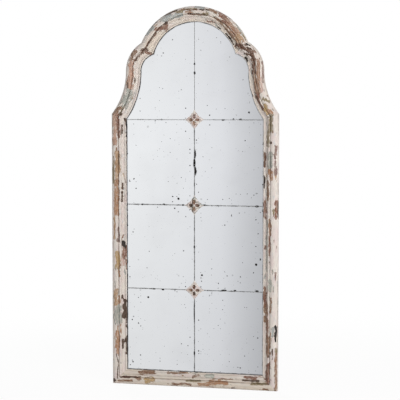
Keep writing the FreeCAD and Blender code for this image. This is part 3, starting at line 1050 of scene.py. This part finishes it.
def ridge(name, away):
    # how much a rounded ridge adds, or a groove takes, at a distance
    shape = rosette[name]
    return shape["height"] * math.exp(-((away - shape["at"]) / shape["width"]) ** 2)


def rosetteReach(angle):
    # four points joined by hollow arcs, with a small step in each
    reach, waist = rosette["reach"], rosette["waist"]
    away = math.remainder(angle - math.pi / 4, math.pi / 2)
    far = (reach ** 2 - waist ** 2) / (math.sqrt(2) * reach - 2 * waist)
    arc = far * math.cos(away) - math.sqrt((far - waist) ** 2 - (far * math.sin(away)) ** 2)
    return arc + ridge("outlineStep", abs(math.degrees(away)))


def rosetteHeight(reach, angle):
    fold = math.remainder(angle, math.pi / 2)
    out = reach * math.cos(fold)
    off = reach * math.sin(fold)
    share = reach / rosetteReach(angle)
    rise = (rosette["hub"] - rosette["edge"]) * (1 - share ** rosette["swellPower"])
    height = rosette["edge"] + rise * rosette["swell"]
    hollow = rosette["hollow"]
    bowl = ((out - hollow["at"]) / hollow["length"]) ** 2 + (off / hollow["width"]) ** 2
    height -= hollow["depth"] * max(0, 1 - bowl) ** hollow["power"]
    height += ridge("hollowRim", math.sqrt(bowl)) * (1 - share)
    grown = min(1, reach / rosette["diagonalRidge"]["risesOver"])
    height += ridge("diagonalRidge", (math.pi / 4 - abs(fold)) * reach) * grown * (1 - share ** 3)
    point = rosette["pointRidge"]
    grown = min(1, max(0, (out - point["startsAt"]) / point["risesOver"]))
    height += ridge("pointRidge", off) * grown * (1 - share)
    height += ridge("hubGroove", reach)
    dome = rosette["hubDome"]
    height += dome["height"] * math.sqrt(max(0, 1 - (reach / dome["radius"]) ** 2))
    return max(rosette["thinnest"], height)


def carveRosette(name, seamZ):
    deselectAll()
    bpy.ops.mesh.primitive_circle_add(vertices=rosette["spokes"], radius=rosette["reach"], fill_type="NGON")
    piece = bpy.context.object
    piece.name = name
    goTo("EDIT")
    bpy.ops.mesh.select_mode(type="FACE")
    bpy.ops.mesh.select_all(action="SELECT")
    for ring in range(rosette["rings"]):
        bpy.ops.mesh.inset(thickness=rosette["reach"] / (rosette["rings"] + 1))
    goTo("OBJECT")
    for vertex in piece.data.vertices:
        angle = math.atan2(vertex.co.y, vertex.co.x)
        reach = vertex.co.length / rosette["reach"] * rosetteReach(angle)
        height = rosetteHeight(reach, angle)
        vertex.co = (reach * math.cos(angle), mirror["glassY"] - height, seamZ + reach * math.sin(angle))

    def onRim(vertex):
        x, z = vertex.co.x, vertex.co.z - seamZ
        return math.hypot(x, z) > rosette["rimShare"] * rosetteReach(math.atan2(z, x))

    choose(piece, "vertices", onRim)
    bpy.ops.mesh.extrude_region_move(TRANSFORM_OT_translate={"value": (0, rosette["edge"], 0)})
    bpy.ops.mesh.edge_face_add()
    cleanUp(piece, rosette["smoothAngle"])
    return piece


def ageRosette(piece, seamZ, look):
    wear = rosetteWear
    hollow = rosette["hollow"]
    spots = placesOf(piece)
    x, z = spots[:, 0], spots[:, 2] - seamZ
    angle = np.arctan2(z, x)
    reach = np.hypot(x, z)
    fold = np.remainder(angle + math.pi / 4, math.pi / 2) - math.pi / 4
    bowl = np.hypot(
        (reach * np.cos(fold) - hollow["at"]) / hollow["length"],
        reach * np.sin(fold) / hollow["width"],
    )
    fine, shift = wear["noiseScale"], seamZ * wear["noiseShift"]
    rough = np.array([fractal((a * fine, b * fine, shift)) for a, b in zip(x, z)])
    inBowl = smooth(*wear["hollowLevels"], bowl + wear["hollowRagged"] * rough)
    worn = smooth(*wear["wornLevels"], look["wear"] + wear["wornRagged"] * rough)
    worn = np.maximum(inBowl, worn)
    bare = np.tile(bareTones[look["bare"]], (len(spots), 1))
    bare[reach > wear["greyFrom"] + wear["greyRagged"] * rough] = bareTones["grey"]
    arm = np.round(angle / (math.pi / 2)).astype(int) % 4
    for number, toneName in enumerate(look["hollows"]):
        bare[(inBowl > wear["toneFrom"]) & (arm == number)] = bareTones[toneName]
    if look["streak"]:
        off = np.abs(x - look["streak"]) + wear["streakRagged"] * rough
        streak = smooth(*wear["streakLevels"], off) * (np.abs(z) < wear["streakReach"])
        worn = np.maximum(worn, streak)
        bare[streak > wear["toneFrom"]] = bareTones["dark"]
    # darker in a ring round the hub groove
    start, most, end = wear["hubDirt"]
    dirt = smooth(end, most, reach) * smooth(start, most, reach)
    paintPiece(piece, worn=worn, dirt=dirt, bare=bare, strip=np.stack((x, z, spots[:, 1]), 1))


for (node, look), seamZ in zip(rosetteLooks.items(), mirror["seams"]):
    piece = carveRosette(node + "_carved", seamZ)
    ageRosette(piece, seamZ, look)
    finishPiece(piece, node)
print("rosettes carved")

# old mirror glass: silver with foxing, dark along the seams, and dark along the frame's sight edge with
# foxing and painted shade
glass = {
    "silver": linear(247, 248, 249),
    "foxAndShade": linear(40, 37, 35),
    "haze": linear(205, 204, 204),
    "roughness": (0.03, 0.5),
    "seamReach": (0.0012, 0.0045),
    "seamFade": (-0.05, 0.12, 1, 0.1),  # full below the first height, a tenth above the second
    "edgeReach": (0.001, 0.0068),
    "blotLevels": (0.7, 1.25, 1, 0),
    "wobble": (260, 3, 0.5),  # noise: scale, detail, roughness
    "wobbleReach": 0.007,
    "largeFlecks": (24, 0.16, 3),  # to the metre, the largest in a cell, and how rare
    "smallFlecks": (85, 0.3, 5),
    # from and to which measure, and the share at each end
    "fleckEdge": (-0.02, 0.05),
    "fleckStrength": (0.1, 1, 0.25, 1),
    "crowdReach": (0.01, 0.13, 1.25, 0.76),
    "crowdFade": (0.1, 0.3, 1, 0.75),
    # patches: scale, detail, from and to which level of the noise, the least and the most
    "crowdPatches": (5, 2, 0.38, 0.6, 0.78, 1.12),
    "seamPatches": (30, 4, 0.42, 0.66, 0.25, 0.9),
    "edgePatches": (26, 4, 0.38, 0.62, 0.35, 0.95),
    "hazePatches": (3.5, 5, 0.45, 0.75, 0, 0.15),
    # single blots: pixelX, pixelY, halfX, halfY
    "blots": (
        (194.5, 64, 0.9, 1.2), (194.6, 73, 1.0, 1.6), (195, 154, 1.0, 4.5), (194.4, 163, 1.2, 5.0),
        (195.4, 171, 1.0, 4.5), (194.4, 247, 0.8, 1.8), (194.4, 353, 0.8, 2.2), (194.3, 312, 0.6, 12),
        (223, 120, 1.6, 0.8), (233.5, 119, 0.9, 0.6), (240.5, 119.3, 1.5, 0.7), (257, 206.4, 2.2, 1.1),
        (183, 205, 1.6, 0.8), (204.5, 205.1, 1.6, 0.8), (142.5, 204.4, 1.6, 0.8), (164, 204.3, 1.4, 0.8),
        (154, 288.8, 1.6, 0.8), (163, 289.6, 1.4, 0.8), (224, 290.4, 2.8, 0.9), (235, 290.6, 1.4, 0.8),
        (257, 291.2, 1.8, 1.0),
    ),
}
blotGroup, given, made = newGroup(
    "glassBlot",
    {"Place": "Vector", "Centre": "Vector", "Reach": "Vector"},
    {"Mask": "Float"},
)
offset = vectorCalc("SUBTRACT", given["Place"], given["Centre"])
blotShare = lengthOf(vectorCalc("DIVIDE", offset, given["Reach"]))
feed(rescale(blotShare, *glass["blotLevels"]), made["Mask"])

agedMirror, shader = newMaterial("agedMirror", Metallic=1.0)
place = stretch(objectPlace(), (1, 0, 1))
wobble = cloud(place, *glass["wobble"], "Color")
wobbleReach = glass["wobbleReach"]
shifted = vectorCalc(
    "MULTIPLY_ADD",
    wobble,
    (wobbleReach, 0, wobbleReach),
    (-wobbleReach / 2, 0, -wobbleReach / 2),
)
warped = vectorCalc("ADD", place, shifted)
axes = axesOf(warped)
sideways = calc("ABSOLUTE", axes["X"])
seamGap = sideways
for seamZ in mirror["seams"]:
    seamGap = calc("MINIMUM", seamGap, calc("ABSOLUTE", minus(axes["Z"], seamZ)))


def reachFrom(centre):
    # distance from an arc's centre, on either side of the middle
    return lengthOf(wire(put("CombineXYZ"), minus(sideways, centre[0]), minus(axes["Z"], centre[1])))


# how far the glass is from the frame's sight edge: straight side, then cove, then ear and crest together
sideGap = minus(halfWidth - mouldingWidth, sideways)
coveGap = minus(reachFrom(coveCentre), coveRadius + mouldingWidth)
earGap = minus(earRadius - mouldingWidth, reachFrom(earCentre))
crestGap = minus(crestRadius - mouldingWidth, reachFrom(crestCentre))
edgeGap = pickBetween(calc("GREATER_THAN", axes["Z"], shoulderMitre[1][1]), sideGap, coveGap)
edgeGap = pickBetween(calc("GREATER_THAN", axes["Z"], earZ), edgeGap, calc("MAXIMUM", earGap, crestGap))
edgeGap = calc("MINIMUM", edgeGap, minus(axes["Z"], baseZ + mouldingWidth))

# specks crowd along the seams and the edge, and are few in the top panes
crowd = rescale(calc("MINIMUM", seamGap, edgeGap), *glass["crowdReach"])
crowd = times(crowd, patches(place, *glass["crowdPatches"]))
crowd = times(crowd, rescale(axes["Z"], *glass["crowdFade"]))


def flecks(scale, most, power):
    # round specks of many sizes, one in each cell
    cells = put("TexVoronoi", voronoi_dimensions="3D", feature="F1")
    feed(warped, cells.inputs["Vector"])
    feed(scale, cells.inputs["Scale"])
    parts = put("SeparateColor")
    wire(parts, cells.outputs["Color"])
    size = times(times(calc("POWER", parts.outputs[0], power), most), crowd)
    strength = rescale(parts.outputs[1], *glass["fleckStrength"])
    return times(rescale(minus(size, cells.outputs["Distance"]), *glass["fleckEdge"]), strength)


foxing = calc("MAXIMUM", flecks(*glass["largeFlecks"]), flecks(*glass["smallFlecks"]))
for pixelX, pixelY, halfX, halfY in glass["blots"]:
    centre = glassSpot(pixelX, pixelY)
    corner = glassSpot(pixelX + halfX, pixelY + halfY)
    found = useGroup(
        blotGroup,
        Place=warped,
        Centre=(centre.x, 0, centre.z),
        Reach=(abs(corner.x - centre.x), 1, abs(corner.z - centre.z)),
    )
    foxing = calc("MAXIMUM", foxing, found["Mask"])
seamDark = times(rescale(seamGap, *glass["seamReach"], 1, 0), patches(place, *glass["seamPatches"]))
seamDark = times(seamDark, rescale(axes["Z"], *glass["seamFade"]))
# dark along the frame's sight edge: edge foxing, and painted shade of the frame's lip
edgeFoxingAndShade = times(rescale(edgeGap, *glass["edgeReach"], 1, 0), patches(place, *glass["edgePatches"]))
foxing = calc("MAXIMUM", calc("MAXIMUM", foxing, seamDark), edgeFoxingAndShade, clamp=True)
silver = blend(patches(place, *glass["hazePatches"]), glass["silver"], glass["haze"])
feed(blend(foxing, silver, glass["foxAndShade"]), shader["Base Color"])
feed(rescale(foxing, 0, 1, *glass["roughness"]), shader["Roughness"])
for name, node in nodes.items():
    if "_pane_" in name:
        giveMaterial(node, agedMirror)
print("glass silvered")

# the back: board, tape, steel and rubber have two tones in a fine pattern, stained in patches
backLooks = {
    "fibreboard": {
        "pattern": {"Scale": 320, "Detail": 4, "Rough": 0.7, "Run": (1, 1, 2.4)},
        "tones": {"Dark": linear(136, 102, 70), "Pale": linear(176, 140, 102)},
        "stains": {"Stain": linear(128, 96, 68), "Patch": 9, "From": 0.4, "To": 0.7, "Share": 0.3},
        "roughness": 0.85,
        "relief": (0.35, 0.0004),
    },
    "foamTape": {
        "pattern": {"Scale": 900, "Detail": 2, "Rough": 0.55, "Run": (1, 1, 1)},
        "tones": {"Dark": linear(206, 206, 204), "Pale": linear(232, 232, 230)},
        "stains": {"Share": 0},
        "roughness": 0.9,
        "relief": (0.4, 0.0003),
    },
    "zincSteel": {
        "pattern": {"Scale": 240, "Detail": 3, "Rough": 0.55, "Run": (1, 1, 6)},
        "tones": {"Dark": linear(176, 178, 182), "Pale": linear(206, 208, 212)},
        "stains": {"Stain": linear(150, 142, 128), "Patch": 60, "From": 0.5, "To": 0.75, "Share": 0.5},
        "roughness": (0.26, 0.46),
        "relief": (0.15, 0.0002),
    },
    "rubber": {
        "pattern": {"Scale": 700, "Detail": 3, "Rough": 0.55, "Run": (1, 1, 1)},
        "tones": {"Dark": linear(38, 38, 40), "Pale": linear(56, 56, 58)},
        "stains": {"Stain": linear(120, 116, 110), "Patch": 70, "From": 0.5, "To": 0.8, "Share": 0.4},
        "roughness": (0.55, 0.8),
        "relief": (0.3, 0.0002),
    },
}
boardFront = {"white": linear(226, 226, 224), "fade": (0.0005, 0.0002)}  # gone at the first depth
patternLevels = (0.3, 0.7)
patternGroup, given, made = newGroup(
    "stainedPattern",
    {
        "Place": "Vector", "Run": "Vector", "Scale": "Float", "Detail": "Float", "Rough": "Float",
        "Dark": "Color", "Pale": "Color", "Stain": "Color",
        "Patch": "Float", "From": "Float", "To": "Float", "Share": "Float",
    },
    {"Colour": "Color", "Height": "Float", "Stained": "Float"},
)
grain = cloud(stretch(given["Place"], given["Run"]), given["Scale"], given["Detail"], given["Rough"])
stain = cloud(given["Place"], given["Patch"])
stainShare = rescale(stain, given["From"], given["To"], 0, given["Share"])
colour = blend(rescale(grain, *patternLevels), given["Dark"], given["Pale"])
feed(blend(stainShare, colour, given["Stain"]), made["Colour"])
feed(grain, made["Height"])
feed(rescale(stain, *patternLevels), made["Stained"])


def backMaterial(name, metallic=0.0):
    look = backLooks[name]
    material, shader = newMaterial(name, Metallic=metallic)
    values = {**look["pattern"], **look["tones"], **look["stains"]}
    found = useGroup(patternGroup, Place=objectPlace(), **values)
    dress(shader, found["Colour"], found["Height"], look["relief"])
    roughness = look["roughness"]
    if isinstance(roughness, tuple):  # it follows the stains
        least, most = roughness
        roughness = calc("MULTIPLY_ADD", found["Stained"], most - least, least)
    feed(roughness, shader["Roughness"])
    return material, found["Colour"], shader


foamTape = backMaterial("foamTape")[0]
zincSteel = backMaterial("zincSteel", 1.0)[0]
rubber = backMaterial("rubber")[0]
fibreboard, colour, shader = backMaterial("fibreboard")  # hardboard with one white face
fadeLevels = [mirror["boardFrontY"] + depth for depth in boardFront["fade"]]
whiteFace = rescale(axesOf(objectPlace())["Y"], *fadeLevels)
feed(blend(whiteFace, colour, boardFront["white"]), shader["Base Color"])

backFinish = {
    "backing_board": (fibreboard, "fibreboard"),
    "mounting_tape": (foamTape, "foam_tape"),
    "mitre_tenons": (bareWood, "bare_wood"),
}
for side in ("left", "right"):
    backFinish[side + "_hanger_strap"] = (zincSteel, "zinc_steel")
    backFinish[side + "_hanger_ring"] = (zincSteel, "zinc_steel")
    backFinish[side + "_bumper"] = (rubber, "rubber")
for name, (material, slotName) in backFinish.items():
    giveMaterial(nodes[name], material)
print("back finished")

# screws with a domed head and a cross recess, one modelled and the rest copied
screw = {
    "sides": 24,
    "headRadius": 0.0036,
    "headHeight": 0.0022,
    "headRounding": 0.0009,
    "roundingSteps": 4,
    "smoothAngle": 35,
    "shankRadius": 0.00175,
    "shankShare": 0.75,  # of the length below the head
    "tipShare": 0.24,
    "tipTaper": 0.15,
    "recessLength": 0.0042,
    "recessWidth": 0.0009,
    "recessDepth": 0.0012,
    "turnStep": 1.1,  # each is driven to another angle
    "topBand": 0.0001,  # what lies this near the outermost point belongs to a head
    "apart": 0.008,  # less than the gap between two heads
}


def screwPlaces(node):
    # the middle of each head and how far the screw reaches in
    spots = placesOf(nodes[node])
    outer = spots[:, 1].max()
    heads = []
    for spot in spots[spots[:, 1] > outer - screw["topBand"]]:
        if all(math.dist(spot[::2], head) > screw["apart"] for head in heads):
            near = spots[np.hypot(spots[:, 0] - spot[0], spots[:, 2] - spot[2]) < screw["apart"]]
            heads.append(tuple((near.min(0) + near.max(0))[::2] / 2))
    return heads, outer, spots[:, 1].min()


def buildScrew(name, outer, inner):
    deselectAll()
    bpy.ops.mesh.primitive_cylinder_add(
        vertices=screw["sides"],
        radius=screw["headRadius"],
        depth=screw["headHeight"],
        location=(0, outer - screw["headHeight"] / 2, 0),
        rotation=(-math.pi / 2, 0, 0),
    )
    piece = bpy.context.object
    piece.name = name
    bpy.ops.object.transform_apply(location=True, rotation=True, scale=True)
    choose(piece, "polygons", looksBack)
    bpy.ops.mesh.bevel(offset=screw["headRounding"], segments=screw["roundingSteps"], affect="EDGES")
    choose(piece, "polygons", looksForward)
    bpy.ops.mesh.inset(thickness=screw["headRadius"] - screw["shankRadius"])
    shank = outer - screw["headHeight"] - inner
    for share in (screw["shankShare"], screw["tipShare"]):
        bpy.ops.mesh.extrude_region_move(TRANSFORM_OT_translate={"value": (0, -share * shank, 0)})
    bpy.ops.transform.resize(value=(screw["tipTaper"], 1, screw["tipTaper"]), center_override=(0, 0, 0))
    goTo("OBJECT")
    for turn in (0, math.pi / 2):
        bpy.ops.mesh.primitive_cube_add(
            size=1,
            location=(0, outer, 0),
            rotation=(0, turn, 0),
            scale=(screw["recessLength"], 2 * screw["recessDepth"], screw["recessWidth"]),
        )
        cutter = bpy.context.object
        makeActive(piece)
        cut = piece.modifiers.new("recess", "BOOLEAN")
        cut.operation = "DIFFERENCE"
        cut.object = cutter
        bpy.ops.object.modifier_apply(modifier=cut.name)
        bpy.data.objects.remove(cutter)
    cleanUp(piece, screw["smoothAngle"])
    return piece


def buildScrews(node, name):
    heads, outer, inner = screwPlaces(node)
    first = buildScrew(name, outer, inner)
    copies = []
    for number, (x, z) in enumerate(heads[1:]):
        copy = first.copy()
        copy.data = first.data.copy()
        bpy.context.scene.collection.objects.link(copy)
        turn = Matrix.Rotation(screw["turnStep"] * (number + 1), 4, "Y")
        copy.data.transform(Matrix.Translation((x, 0, z)) @ turn)
        copies.append(copy)
    first.data.transform(Matrix.Translation((heads[0][0], 0, heads[0][1])))
    makeActive(first)
    for copy in copies:
        copy.select_set(True)
    bpy.ops.object.join()
    giveMaterial(first, zincSteel)
    finishPiece(first, node)
    print(name, len(heads))


for node in ("board_screws", "rosette_screws", "hanger_screws"):
    buildScrews(node, node + "_cross_head")

# the stage: a pale floor, soft light from the right and a white room
stage = {
    "floorSize": 60,
    "floorColour": linear(250, 250, 250),
    "floorRoughness": 0.9,
    "floorWhite": 0.93,  # how white it already is beside the mirror
    "shadowReach": (1.0, 3.0),  # the floor turns pure white between these distances
    "aim": (0, 0, -0.35),
    "lightSize": 2.6,
    "keyPlace": (5.2, -5.4, 1.6),
    "keyPower": 270,
    "backPlace": (-3.5, 5.5, 2.2),
    "backPower": 200,
    "roomLight": 0.52,
    "leftLight": 0.27,
    "cardY": -9.5,
    "cardSize": (40, 24, 1),
    "cardLight": 1.06,
    # tones of the reflected wall from left to right, and what dims them by height
    "wallTones": (
        (-6.0, linear(246, 246, 246)),
        (-3.3, linear(238, 239, 240)),
        (-2.5, linear(233, 234, 236)),
        (-2.0, linear(224, 225, 228)),
        (-1.7, linear(206, 207, 210)),
        (-1.4, linear(187, 188, 191)),
        (-0.6, linear(196, 198, 202)),
        (3.0, linear(240, 240, 240)),
    ),
    "heightTones": ((-3.3, 0.85), (-2.4, 0.90), (-1.5, 0.94), (-0.4, 1.0), (0.3, 0.97), (1.0, 0.94)),
}


def surfaceOf(shading):
    tree.links.new(shading, tree.nodes["Material Output"].inputs["Surface"])


bpy.ops.mesh.primitive_plane_add(size=stage["floorSize"], location=(0, 0, baseZ))
floor = bpy.context.object
floor.name = "floor"
floor.visible_glossy = False
floorPaint, shader = newMaterial("floorPaint", Roughness=stage["floorRoughness"])
feed(stage["floorColour"], shader["Base Color"])
white = rescale(lengthOf(objectPlace()), *stage["shadowReach"], stage["floorWhite"], 1)
whiteSeen = times(put("LightPath").outputs["Is Camera Ray"], white)
shaded = tree.nodes["Principled BSDF"].outputs[0]
surfaceOf(wire(put("MixShader"), whiteSeen, shaded, put("Emission").outputs[0]))
giveMaterial(floor, floorPaint)

# what the glass reflects: a pale wall that darkens towards the camera's side
bpy.ops.mesh.primitive_plane_add(size=1, location=(0, stage["cardY"], 0), rotation=(math.pi / 2, 0, 0))
card = bpy.context.object
card.name = "reflected_wall"
card.scale = stage["cardSize"]
bpy.ops.object.transform_apply(location=True, rotation=True, scale=True)
card.visible_camera = False
card.visible_diffuse = False
card.visible_shadow = False
card.visible_transmission = False
cardPaint = newMaterial("cardPaint")[0]
tree.nodes.remove(tree.nodes["Principled BSDF"])
axes = axesOf(objectPlace())
acrossTone = ramp(axes["X"], stage["wallTones"])
heightTone = ramp(axes["Z"], [(z, (tone, tone, tone)) for z, tone in stage["heightTones"]])
wallTone = blend(1.0, acrossTone, heightTone, "MULTIPLY")
surfaceOf(wire(put("Emission"), wallTone, stage["cardLight"]))
giveMaterial(card, cardPaint)


def addLight(place, power):
    # a soft lamp that the glass doesn't show
    bpy.ops.object.light_add(type="AREA", location=place)
    lamp = bpy.context.object
    lamp.data.size = stage["lightSize"]
    lamp.data.energy = power
    lamp.rotation_euler = (Vector(stage["aim"]) - lamp.location).to_track_quat("-Z", "Y").to_euler()
    lamp.visible_glossy = False


addLight(stage["keyPlace"], stage["keyPower"])
addLight(stage["backPlace"], stage["backPower"])

# the room: white to the eye and in reflections, dimmer as light, most of all from the left
world = bpy.data.worlds.new("room")
bpy.context.scene.world = world
world.use_nodes = True
tree = world.node_tree
background = tree.nodes["Background"].inputs
feed((1, 1, 1), background["Color"])
rays = put("LightPath").outputs
seen = calc("MAXIMUM", rays["Is Camera Ray"], rays["Is Glossy Ray"])
seen = calc("MAXIMUM", seen, rays["Is Transmission Ray"])
sides = axesOf(put("TexCoord").outputs["Generated"])
roomLight = rescale(sides["X"], -1, 1, stage["leftLight"], stage["roomLight"])
feed(calc("MAXIMUM", seen, roomLight), background["Strength"])
bpy.context.scene.view_settings.view_transform = "Standard"
print("stage lit")
